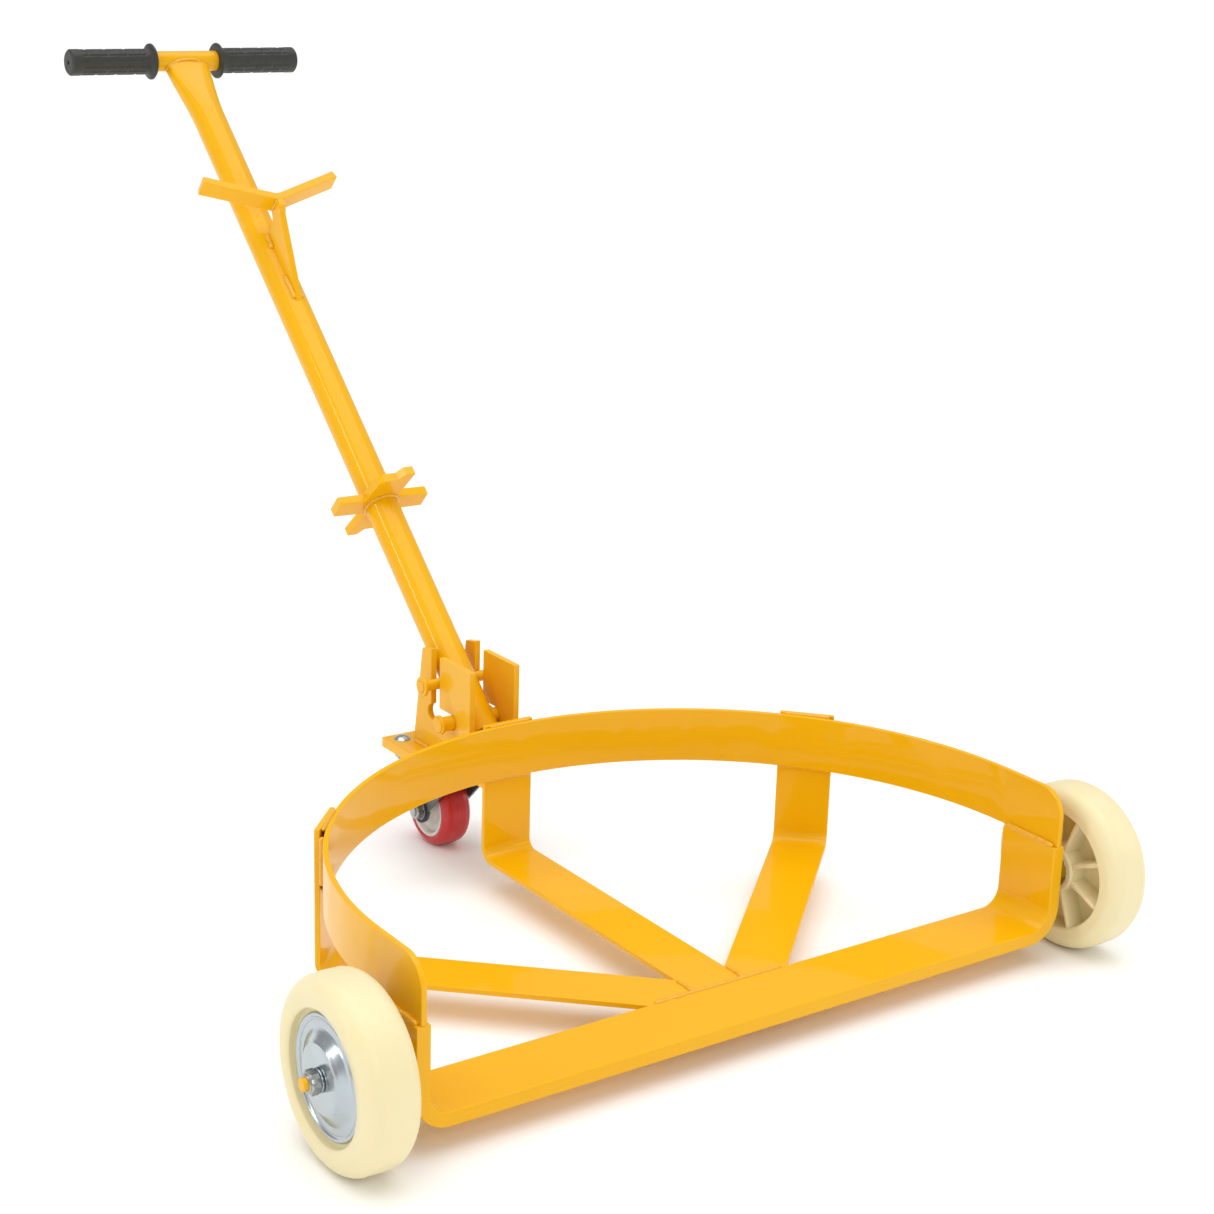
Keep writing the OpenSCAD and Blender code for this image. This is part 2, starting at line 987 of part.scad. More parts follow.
module v_gusset() {
    color(paint)
    in_frame()
        on_handle()
            difference() {
                rotate([90, 0, -90])
                    linear_extrude(gusset_t, center = true)
                        difference() {
                            polygon([
                                [tube_r / 2, gusset_foot], [tube_r, gusset_foot],
                                [gusset_slope_n, gusset_slope_s],
                                [v_offset + v_height, gusset_nose_s],
                                [v_offset + v_height, v_front], [v_offset, v_front],
                                [v_offset, gusset_ledge], [tube_r / 2, gusset_ledge],
                            ]);
                            translate([gusset_notch_n, gusset_ledge])
                                circle(gusset_notch_r);
                            translate([0, gusset_ledge - gusset_notch_r])
                                square([gusset_notch_n, gusset_notch_r + over]);
                        }
                cylinder(h = 2 * v_front, r = tube_r);
            }
}

ring_band();
front_bar();
rear_strut();
left_strut();
right_strut();
caster_mount_plate();
hook_plate_left();
hook_plate_right();
axle_stub_left();
axle_stub_right();
axle_washers();
axle_nuts();
carriage_bolts();
caster_bolt_nuts();
caster_top_plate();
caster_kingpin();
wheel_left();
hub_cap_left();
wheel_bearings_left();
wheel_right();
hub_cap_right();
wheel_bearings_right();
caster_fork();
swivel_balls();
caster_axle_bolt();
caster_axle_washers();
caster_axle_nut();
caster_core();
caster_bearings();
caster_tread();
lower_rod();
lower_rod_washers();
upper_rod();
upper_rod_washers();
handle_tube();
crossbar();
grip_left();
grip_right();
bung_wrench();
v_arms();
v_gusset();
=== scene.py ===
"""Looks of a three-wheel drum dolly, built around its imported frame.

The steelwork keeps the frame's own meshes, with softened edges and weld beads.
Wheels, hub caps, grips, nuts, the handle tube and the caster's round parts are
finer pieces that stand for their plain ones. Lengths inside the classes are in
millimetres; the scene is in metres.
"""
import logging
import math
import random
from dataclasses import dataclass
from enum import Enum
from typing import Callable, Iterable, Sequence

import bmesh
import bpy
from mathutils import Matrix, Vector, noise


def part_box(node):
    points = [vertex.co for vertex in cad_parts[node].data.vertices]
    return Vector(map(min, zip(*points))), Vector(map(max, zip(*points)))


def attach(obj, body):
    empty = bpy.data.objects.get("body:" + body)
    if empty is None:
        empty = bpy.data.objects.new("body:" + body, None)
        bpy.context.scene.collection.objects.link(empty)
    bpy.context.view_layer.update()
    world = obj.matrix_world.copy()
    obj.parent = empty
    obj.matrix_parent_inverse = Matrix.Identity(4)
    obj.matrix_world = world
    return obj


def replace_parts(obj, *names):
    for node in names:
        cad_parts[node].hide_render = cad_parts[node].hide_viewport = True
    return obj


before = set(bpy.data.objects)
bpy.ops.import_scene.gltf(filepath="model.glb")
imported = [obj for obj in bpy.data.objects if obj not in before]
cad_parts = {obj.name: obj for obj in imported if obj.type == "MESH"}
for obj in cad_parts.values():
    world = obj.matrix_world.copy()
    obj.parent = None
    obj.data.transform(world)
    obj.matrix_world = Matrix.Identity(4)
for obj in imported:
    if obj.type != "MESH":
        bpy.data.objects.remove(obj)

LOG = logging.getLogger("drum_dolly")
MM = 0.001
Point = tuple[float, float]
BAR_FRONT = -68.0
# Lengths in the classes start from the floor under the ring's centre; this is
# where that point lies in the frame.
RING_CENTRE = Vector((0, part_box("front_bar")[0].y - BAR_FRONT * MM, 0))


class Side(Enum):
    """Which side of the dolly a piece is on, as the sign of its X."""

    LEFT = -1
    RIGHT = 1


class Body(Enum):
    """The rigid bodies of the frame that pieces ride on."""

    CARRIAGE = "carriage"
    WHEEL_LEFT = "wheel_left_body"
    WHEEL_RIGHT = "wheel_right_body"
    FORK = "caster_fork_body"
    CASTER_WHEEL = "caster_wheel_body"
    HANDLE = "handle_body"


# ---- Shading ----

# Pointiness of a mesh corner where the painted edge highlight starts and where it is at its most,
# how strongly it shows there, and how deep light spreads in plastics, in metres.
EDGE_HIGHLIGHT_FROM, EDGE_HIGHLIGHT_FULL, EDGE_HIGHLIGHT_SHARE = 0.53, 0.62, 0.55
LIGHT_DEPTH = 0.004


def linear(code: str) -> tuple[float, float, float, float]:
    """Turns an sRGB hex colour into the linear RGBA that shaders take.

    Args:
        code: Six hex digits with a leading hash.

    Returns:
        Linear red, green, blue and an alpha of one.
    """
    parts = [int(code[i : i + 2], 16) / 255 for i in (1, 3, 5)]
    rgb = [c / 12.92 if c <= 0.04045 else ((c + 0.055) / 1.055) ** 2.4 for c in parts]
    return (rgb[0], rgb[1], rgb[2], 1.0)


def add(tree: bpy.types.NodeTree, kind: str, links: dict | None = None,
        **settings) -> bpy.types.Node:
    """Adds one shader node with its settings and links.

    Args:
        tree: The material's node tree.
        kind: The node's type name without its ShaderNode prefix.
        links: Input name or index to a socket that feeds it.
        **settings: Attributes of the node, or "in_NAME" values for its inputs.

    Returns:
        The new node.
    """
    node = tree.nodes.new("ShaderNode" + kind)
    for key, value in settings.items():
        if key.startswith("in_"):
            name = key[3:]
            socket = int(name) if name.isdigit() else name.replace("_", " ")
            node.inputs[socket].default_value = value
        else:
            setattr(node, key, value)
    for name, source in (links or {}).items():
        tree.links.new(source, node.inputs[name])
    return node


@dataclass(frozen=True)
class Finish:
    """A surface: a base colour that drifts slightly, a gloss and a fine relief.

    Attributes:
        name: What the surface is made of and how.
        colour: Main sRGB colour.
        drift: Second sRGB colour that the first wanders towards.
        drift_mm: Size of the patches the colour wanders over.
        roughness: Lowest and highest roughness across the surface.
        rough_mm: Size of the smudges the gloss varies over.
        relief: Depth of the fine relief in millimetres.
        relief_mm: Spacing of the fine relief.
        metallic: One for bare or plated metal.
        ior: Refractive index of the outer skin.
        coat: Weight of a clear glossy skin.
        coat_roughness: Roughness of that skin.
        subsurface: Weight of light spreading inside the material.
        anisotropic: Stretch of highlights along drawn or turned metal.
        sheen: Weight of dusty light at grazing angles.
        specular: Strength of the reflections of a non-metal.
        edge: Lighter second colour painted on sharp corners as a painted highlight, or the main
            colour for none.
    """

    name: str
    colour: str
    drift: str
    drift_mm: float = 90.0
    roughness: Point = (0.25, 0.35)
    rough_mm: float = 40.0
    relief: float = 0.0
    relief_mm: float = 1.5
    metallic: float = 0.0
    ior: float = 1.5
    coat: float = 0.0
    coat_roughness: float = 0.05
    subsurface: float = 0.0
    anisotropic: float = 0.0
    sheen: float = 0.0
    specular: float = 0.5
    edge: str = ""

    def build(self) -> bpy.types.Material:
        """Makes the material once and returns it on every later call.

        Returns:
            The Blender material.
        """
        known = bpy.data.materials.get(self.name)
        if known:
            return known
        material = bpy.data.materials.new(self.name)
        material.use_nodes = True
        tree = material.node_tree
        tree.nodes.clear()
        where = add(tree, "TexCoord").outputs["Object"]
        patches = add(tree, "TexNoise", {"Vector": where}, in_Scale=1000 / self.drift_mm,
                      in_Detail=3.0)
        shades = add(tree, "Mix", {0: patches.outputs["Fac"]}, data_type="RGBA")
        shades.inputs[6].default_value = linear(self.colour)
        shades.inputs[7].default_value = linear(self.drift)
        colour = shades.outputs[2]
        # Painted highlight: sharp convex corners, found by pointiness, are mixed towards the
        # lighter edge colour.
        if self.edge:
            corner = add(tree, "NewGeometry").outputs["Pointiness"]
            edge_highlight_mask = add(tree, "MapRange", {"Value": corner}, in_1=EDGE_HIGHLIGHT_FROM, in_2=EDGE_HIGHLIGHT_FULL,
                       in_3=0.0, in_4=EDGE_HIGHLIGHT_SHARE)
            edge_highlighted = add(tree, "Mix", {0: edge_highlight_mask.outputs[0], 6: colour}, data_type="RGBA")
            edge_highlighted.inputs[7].default_value = linear(self.edge)
            colour = edge_highlighted.outputs[2]
        smudges = add(tree, "TexNoise", {"Vector": where}, in_Scale=1000 / self.rough_mm,
                      in_Detail=4.0)
        gloss = add(tree, "MapRange", {"Value": smudges.outputs["Fac"]}, in_1=0.3, in_2=0.7,
                    in_3=self.roughness[0], in_4=self.roughness[1])
        skin = add(tree, "BsdfPrincipled", {"Base Color": colour, "Roughness": gloss.outputs[0]},
                   in_Metallic=self.metallic, in_IOR=self.ior, in_Coat_Weight=self.coat,
                   in_Coat_Roughness=self.coat_roughness, in_Subsurface_Weight=self.subsurface,
                   in_Subsurface_Scale=LIGHT_DEPTH, in_Anisotropic=self.anisotropic,
                   in_Sheen_Weight=self.sheen,
                   in_Specular_IOR_Level=self.specular)
        if self.relief:
            grain = add(tree, "TexNoise", {"Vector": where}, in_Scale=1000 / self.relief_mm,
                        in_Detail=2.0)
            bump = add(tree, "Bump", {"Height": grain.outputs["Fac"]}, in_Distance=self.relief * MM,
                       in_Strength=1.0)
            tree.links.new(bump.outputs["Normal"], skin.inputs["Normal"])
        add(tree, "OutputMaterial", {"Surface": skin.outputs["BSDF"]})
        return material


# Powder coat baked on steel: a warm yellow with a faint orange-peel relief under a
# clear gloss, so soft boxes show as slightly wavy bright bands. Its sharp corners
# get a lighter yellow as a painted highlight.
POWDER_COAT = Finish("yellow_powder_coat_on_steel", "#eaac00", "#edb101", drift_mm=140,
                     roughness=(0.30, 0.38),
                     relief=0.010, relief_mm=2.6, ior=1.5, coat=0.4, coat_roughness=0.05,
                     specular=0.1, edge="#f4ba34")
# Paint pooled over weld beads: the same coat, thicker, slightly deeper in colour.
WELD_COAT = Finish("powder_coat_over_weld_bead", "#eaac00", "#e3a500", drift_mm=9,
                   roughness=(0.24, 0.36),
                   rough_mm=6, relief=0.04, relief_mm=1.2, coat=0.5, coat_roughness=0.09)
# Bright zinc plate on pressed steel: cool grey, nearly mirror, dulled by fine passivation.
BRIGHT_ZINC = Finish("bright_zinc_plated_steel", "#bcc5ca", "#a8b0b5", drift_mm=22,
                     roughness=(0.16, 0.28),
                     rough_mm=12, relief=0.004, relief_mm=0.9, metallic=1.0, anisotropic=0.35)
# Zinc plate on cut hexagon steel: the same plate over rougher turned faces.
TURNED_ZINC = Finish("zinc_plated_turned_steel", "#b9bcb9", "#9da09e", drift_mm=6,
                     roughness=(0.24, 0.4),
                     rough_mm=4, relief=0.01, relief_mm=0.5, metallic=1.0, anisotropic=0.2)
# Cast nylon: creamy, slightly waxy and translucent, with soft broad highlights.
CAST_NYLON = Finish("cast_cream_nylon", "#ebe0b8", "#e8d9a4", drift_mm=60, roughness=(0.34, 0.46),
                    rough_mm=25, relief=0.02, relief_mm=3.2, ior=1.53, subsurface=0.25)
# Moulded soft vinyl: near black with an olive cast and a dull skin.
GRIP_VINYL = Finish("moulded_black_vinyl", "#2c2e28", "#252720", drift_mm=20,
                    roughness=(0.42, 0.58), rough_mm=8,
                    relief=0.03, relief_mm=0.7, ior=1.5, sheen=0.04)
# Cast polyurethane tread: saturated red with a smooth satin skin.
CAST_URETHANE = Finish("cast_red_polyurethane", "#c41d22", "#b3181e", drift_mm=18,
                       roughness=(0.28, 0.42),
                       rough_mm=10, relief=0.015, relief_mm=1.8, ior=1.5, subsurface=0.08, coat=0.2)
# Injection-moulded wheel core: pale grey, matt.
MOULDED_CORE = Finish("moulded_grey_polypropylene", "#d8d3cc", "#c9c4bd", drift_mm=14,
                      roughness=(0.45, 0.55), relief=0.01, relief_mm=1.1, ior=1.49)
# Electro-coated pressed steel: dark grey, thin and satin, so tool marks still show.
FORK_COAT = Finish("dark_electrocoat_on_steel", "#54565a", "#45474b", drift_mm=25,
                   roughness=(0.35, 0.5),
                   relief=0.012, relief_mm=1.4, ior=1.5, coat=0.2, coat_roughness=0.2)
# Nitrile seal: black and matt.
SEAL_RUBBER = Finish("black_nitrile_seal", "#1d1d1e", "#161617", drift_mm=6, roughness=(0.5, 0.62),
                     relief=0.01)
# Matt white card on the studio floor.
FLOOR_CARD = Finish("matt_white_card", "#fefefe", "#fcfcfc", drift_mm=900, roughness=(0.85, 0.92),
                    specular=0.1)

# Width of the softened edges of small hardware, in millimetres.
HARDWARE_EDGE = 0.35
CAD_FINISHES: dict[Finish, tuple[str, ...]] = {
    BRIGHT_ZINC: ("axle_washers", "carriage_bolts", "caster_top_plate", "caster_kingpin",
                  "swivel_balls", "caster_axle_washers", "wheel_bearings_left",
                  "wheel_bearings_right", "caster_bearings"),
    TURNED_ZINC: ("caster_axle_bolt", "caster_bolt_nuts", "axle_nuts", "caster_axle_nut"),
    FORK_COAT: ("caster_fork",),
    MOULDED_CORE: ("caster_core",),
}


# ---- Mesh helpers ----


def make(name: str, verts: Iterable[Vector], faces: Iterable[Sequence[int]], finish: Finish,
         body: Body,
         sharp: float = 38.0) -> bpy.types.Object:
    """Builds a mesh piece in place, cleans it, finishes it and makes it ride.

    Args:
        name: The piece's name.
        verts: Points in metres from the ring's centre.
        faces: Indices into verts.
        finish: The surface to give it.
        body: The body it moves with.
        sharp: Edges sharper than this many degrees stay crisp.

    Returns:
        The new object.
    """
    mesh = bpy.data.meshes.new(name)
    mesh.from_pydata([tuple(v + RING_CENTRE) for v in verts], [], [tuple(f) for f in faces])
    work = bmesh.new()
    work.from_mesh(mesh)
    bmesh.ops.remove_doubles(work, verts=work.verts, dist=1e-6)
    bmesh.ops.recalc_face_normals(work, faces=work.faces)
    work.to_mesh(mesh)
    work.free()
    for face in mesh.polygons:
        face.use_smooth = True
    mesh.set_sharp_from_angle(angle=math.radians(sharp))
    mesh.materials.append(finish.build())
    piece = bpy.data.objects.new(name, mesh)
    bpy.context.scene.collection.objects.link(piece)
    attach(piece, body.value)
    return piece


def fillet(points: Sequence[Point], radius: float, steps: int = 5) -> list[Point]:
    """Rounds the inner corners of an open outline.

    Args:
        points: Corners in order.
        radius: Largest corner radius; short edges get less.
        steps: Points along each rounded corner.

    Returns:
        The outline with its first and last points unchanged.
    """
    out = [points[0]]
    for before, here, after in zip(points, points[1:], points[2:]):
        b, h, a = Vector(before), Vector(here), Vector(after)
        u, v = (b - h), (a - h)
        turn = math.pi - u.angle(v)
        if turn < 0.02:
            out.append(here)
            continue
        reach = min(radius * math.tan(turn / 2), 0.48 * u.length, 0.48 * v.length)
        start, end = h + u.normalized() * reach, h + v.normalized() * reach
        for i in range(steps + 1):
            t = i / steps
            p = start * (1 - t) ** 2 + h * 2 * t * (1 - t) + end * t**2
            out.append((p.x, p.y))
    out.append(points[-1])
    return out


def lathe(profile: Sequence[Point], place: Matrix, segments: int = 144) -> tuple[list, list]:
    """Turns a closed profile about the local Z axis.

    Args:
        profile: Radius and height pairs in millimetres.
        place: Where the local frame sits, in metres.
        segments: Steps round the circle.

    Returns:
        Vertices in metres and faces.
    """
    verts, faces = [], []
    count = len(profile)
    for i in range(segments):
        a = 2 * math.pi * i / segments
        verts += [place @ (Vector((r * math.cos(a), r * math.sin(a), z)) * MM) for r, z in profile]
    for i in range(segments):
        here, there = i * count, (i + 1) % segments * count
        for j in range(count):
            k = (j + 1) % count
            faces.append((here + j, there + j, there + k, here + k))
    return verts, faces


def loft(rings: Sequence[Sequence[Vector]], capped: bool = True) -> tuple[list, list]:
    """Joins rings of equal length into a tube.

    Args:
        rings: Rings of points in metres.
        capped: Whether the end rings are filled.

    Returns:
        Vertices and faces.
    """
    count = len(rings[0])
    verts = [p for ring in rings for p in ring]
    faces = [
        (i * count + j, i * count + (j + 1) % count,
         (i + 1) * count + (j + 1) % count, (i + 1) * count + j)
        for i in range(len(rings) - 1)
        for j in range(count)
    ]
    if capped:
        faces.append(tuple(range(count)))
        faces.append(tuple(range(len(verts) - count, len(verts))))
    return verts, faces


@dataclass(frozen=True)
class Bead:
    """A hand-laid weld bead: a lumpy half-sunk cord with overlapping ripples.

    Attributes:
        name: The piece's name.
        path: Points along the seam in millimetres.
        width: Width across the bead.
        body: The body it rides on.
        place: Frame the path is given in.
        pitch: Distance between ripples.
    """

    name: str
    path: Sequence[Sequence[float]]
    width: float
    body: Body = Body.CARRIAGE
    place: Matrix = Matrix.Identity(4)
    pitch: float = 2.4

    def build(self) -> bpy.types.Object:
        """Sweeps the bead along its path.

        Returns:
            The bead's object.
        """
        seed = sum(ord(c) * (i + 1) for i, c in enumerate(self.name))
        points = [Vector(p) for p in self.path]
        walk = [points[0]]
        for a, b in zip(points, points[1:]):
            steps = max(1, round((b - a).length / 0.8))
            walk += [a.lerp(b, i / steps) for i in range(1, steps + 1)]
        total = 0.8 * (len(walk) - 1)
        rings = []
        for i, centre in enumerate(walk):
            ahead = walk[min(i + 1, len(walk) - 1)] - walk[max(i - 1, 0)]
            side = ahead.cross(Vector((0.13, 0.31, 0.94))).normalized()
            over = ahead.cross(side).normalized()
            along = i * 0.8
            end = min(along, total - along) / (self.width * 0.5)
            taper = math.sqrt(max(0.06, 1 - max(0.0, 1 - end) ** 2))
            ripple = 1 + 0.10 * abs(math.sin(math.pi * along / self.pitch))
            lump = 1 + 0.22 * noise.noise(Vector((along * 0.16, seed, 0)))
            r = self.width / 2 * taper * ripple * lump
            drift = 0.18 * self.width * noise.noise(Vector((along * 0.11, 7, seed)))
            ring = []
            for k in range(12):
                a = 2 * math.pi * k / 12
                p = centre + side * (r * math.cos(a) + drift) + over * (r * math.sin(a))
                ring.append(self.place @ (p * MM))
            rings.append(ring)
        verts, faces = loft(rings)
        return make(self.name, verts, faces, WELD_COAT, self.body, sharp=80)


def arc(centre: Sequence[float], u: Sequence[float], v: Sequence[float], start: float, end: float,
        steps: int = 32) -> list[Vector]:
    """Points on part of an ellipse.

    Args:
        centre: Its centre.
        u: Its first half axis.
        v: Its second half axis.
        start: First angle in degrees.
        end: Last angle in degrees.
        steps: Number of spans.

    Returns:
        The points in order.
    """
    c, uu, vv = Vector(centre), Vector(u), Vector(v)
    turns = [math.radians(start + (end - start) * i / steps) for i in range(steps + 1)]
    return [c + uu * math.cos(a) + vv * math.sin(a) for a in turns]


def soften(node: str, finish: Finish, width: float) -> None:
    """Gives a frame node its surface and slightly broken edges.

    Args:
        node: The frame node's name.
        finish: The surface to give it.
        width: Width of the broken edge in millimetres.
    """
    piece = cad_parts[node]
    piece.data.materials.clear()
    piece.data.materials.append(finish.build())
    weld = piece.modifiers.new("joined", "WELD")
    weld.merge_threshold = 1e-5
    flat = piece.modifiers.new("flats", "DECIMATE")
    flat.decimate_type = "DISSOLVE"
    flat.angle_limit = math.radians(0.6)
    edge = piece.modifiers.new("edges", "BEVEL")
    edge.width = width * MM
    edge.segments = 3
    edge.limit_method = "ANGLE"
    edge.angle_limit = math.radians(38)
    edge.harden_normals = True


def hexagon_nut(across: float, height: float, bore: float, place: Matrix,
                collar: float = 0.0) -> tuple[list, list]:
    """A hexagon nut with chamfered corners, and a round locking collar if asked.

    Args:
        across: Width across the flats.
        height: Height of the hexagon.
        bore: Radius of the hole.
        place: Where it stands, its height along local Z.
        collar: Height of the round collar above the hexagon.

    Returns:
        Vertices and faces.
    """
    count, rings = 96, []
    inner, corner = across / 2 * 0.96, across / 2 / math.cos(math.pi / 6)

    def ring(limit: float, z: float) -> list[Vector]:
        """One ring of the nut: the hexagon cut back to a circle of radius limit."""
        out = []
        for i in range(count):
            a = 2 * math.pi * i / count
            flat = across / 2 / math.cos((a + math.pi / 6) % (math.pi / 3) - math.pi / 6)
            r = min(flat, limit)
            out.append(place @ (Vector((r * math.cos(a), r * math.sin(a), z)) * MM))
        return out

    drop = (corner - inner) * 0.5
    levels = [(bore, 0.4), (bore + 0.5, 0.0), (inner, 0.0), (corner, drop), (corner, height - drop),
              (inner, height)]
    if collar:
        lip = across / 2 * 0.86
        levels += [(lip, height + 0.2), (lip, height + collar - 0.8), (lip - 0.8, height + collar)]
    top = height + collar
    levels += [(bore + 0.5, top), (bore, top - 0.5)]
    rings = [ring(r, z) for r, z in levels]
    verts, faces = loft(rings + [rings[0]], capped=False)
    return verts, faces


def axle_place(x: float, y: float, z: float, side: Side) -> Matrix:
    """A frame whose local Z points outwards along an axle.

    Args:
        x: Position in millimetres, given for the right side.
        y: Position in millimetres.
        z: Position in millimetres.
        side: The side it is on.

    Returns:
        The placing matrix in metres.
    """
    spin = Matrix.Rotation(math.radians(90 * side.value), 4, "Y")
    return Matrix.Translation(Vector((x * side.value, y, z)) * MM) @ spin


# ---- Chassis ----


@dataclass
class Chassis:
    """The ring, front bar, struts, mount plate and hook plates, with their welds.

    Attributes:
        ring_in: Inside radius of the ring.
        ring_out: Outside radius of the ring.
        ring_low: Height of the ring's lower edge.
        ring_high: Height of the ring's upper edge.
        bar_front: Front edge of the front bar.
        bar_back: Rear edge of the front bar.
        strut_half: Half the struts' width.
        strut_top: Height of the struts' top faces.
        strut_angle: Direction of the side struts.
        strut_shift: How far their middle lines pass the ring's centre.
        axle_y: Axle position along Y.
        axle_z: Axle height.
        upright_out: Outer face of the front bar's uprights.
    """

    ring_in: float = 317.5
    ring_out: float = 322.3
    ring_low: float = 110.0
    ring_high: float = 161.0
    bar_front: float = BAR_FRONT
    bar_back: float = -4.5
    strut_half: float = 25.5
    strut_top: float = 34.0
    strut_angle: float = 43.0
    strut_shift: float = 26.33
    axle_y: float = -41.0
    axle_z: float = 75.0
    upright_out: float = 325.9

    def dress(self) -> None:
        """Softens the steelwork's edges and gives it powder coat."""
        for node in ("ring_band", "front_bar", "rear_strut", "left_strut", "right_strut",
                     "caster_mount_plate"):
            soften(node, POWDER_COAT, 0.9)
        for node in ("hook_plate_left", "hook_plate_right"):
            soften(node, POWDER_COAT, 0.5)
        for node in ("axle_stub_left", "axle_stub_right"):
            soften(node, POWDER_COAT, 0.7)

    def leg_line(self, angle: float, shift: float, inset: float, z: float,
                 share: float) -> list[Vector]:
        """Points across the upright leg of a strut, where it stands on the ring.

        Args:
            angle: Direction of the strut in degrees.
            shift: How far its middle line passes the ring's centre.
            inset: How far the line stops short of the leg's edges.
            z: Height of the line.
            share: Zero on the ring's face, one on the leg's.

        Returns:
            The points in order.
        """
        a = math.radians(angle)
        out, across = Vector((math.cos(a), math.sin(a), 0)), Vector((-math.sin(a), math.cos(a), 0))
        half, line = self.strut_half - inset, []
        for i in range(9):
            v = shift + half * (i / 4 - 1)
            ring = math.sqrt(self.ring_out**2 - v * v)
            reach = ring + (self.ring_out - ring) * share
            line.append(out * reach + across * v + Vector((0, 0, z)))
        return line

    def seams(self) -> list[Bead]:
        """Lists every weld of the carriage.

        Returns:
            The beads, not yet built.
        """
        beads = []
        for side in Side:
            s, tag = side.value, side.name.lower()
            low = self.ring_low + 1.0
            y0, y1 = self.bar_front + 4, self.bar_back - 3
            beads.append(Bead(f"weld_upright_in_{tag}", [(s * (self.ring_in - 1.2), y0, low),
                              (s * (self.ring_in - 1.2), y1, low)], 5.0))
            beads.append(Bead(f"weld_upright_out_{tag}", [(s * (self.ring_out + 1.4), y0, low),
                              (s * (self.ring_out + 1.4), y1, low)], 5.0))
            beads.append(Bead(f"weld_axle_{tag}",
                              arc((s * (self.upright_out + 0.4), self.axle_y, self.axle_z),
                              (0, 10.8, 0), (0, 0, 10.8), 0, 352, 48), 4.2))
            beads.append(Bead(f"weld_centre_{tag}",
                              [(s * (self.strut_half + 0.4), self.bar_back + 2, self.strut_top),
                              (s * (self.strut_half + 0.4), 20, self.strut_top)], 4.0))
            for part, span in (("front", (354, 382)), ("rear", (420, 445))):
                beads.append(Bead(f"weld_hook_{part}_{tag}",
                                  [(s * 27.8, span[0], self.ring_low + 0.8),
                                  (s * 27.8, span[1], self.ring_low + 0.8)], 4.6))
        beads.append(Bead("weld_bar_centre", [(-66, self.bar_back + 0.4, self.strut_top - 0.2),
                          (66, self.bar_back + 0.4, self.strut_top - 0.2)], 4.4))
        beads.append(Bead("weld_mount_leg", [(-23, self.ring_out + 5.6, self.ring_low + 0.6),
                          (23, self.ring_out + 5.6, self.ring_low + 0.6)], 4.6))
        legs = (("right", self.strut_angle, -self.strut_shift), ("rear", 90.0, 0.0),
                ("left", 180 - self.strut_angle, self.strut_shift))
        for tag, angle, shift in legs:
            beads.append(Bead(f"weld_leg_low_{tag}",
                              self.leg_line(angle, shift, 2, self.ring_low - 0.7, 0.2), 4.6))
            beads.append(Bead(f"weld_leg_top_{tag}",
                              self.leg_line(angle, shift, 4, self.ring_high + 0.1, 0.5), 3.2))
            edge = self.leg_line(angle, shift, -0.5, 0, 0.5)
            for end, foot in (("a", edge[0]), ("b", edge[-1])):
                beads.append(Bead(f"weld_leg_side_{tag}_{end}", [foot + Vector((0, 0, z))
                                  for z in (self.ring_low + 4, self.ring_high - 4)], 5.0))
        return beads

    def build(self) -> int:
        """Dresses the carriage and lays its welds.

        Returns:
            The number of beads laid.
        """
        self.dress()
        beads = self.seams()
        for bead in beads:
            bead.build()
        return len(beads)


# ---- Side wheels ----


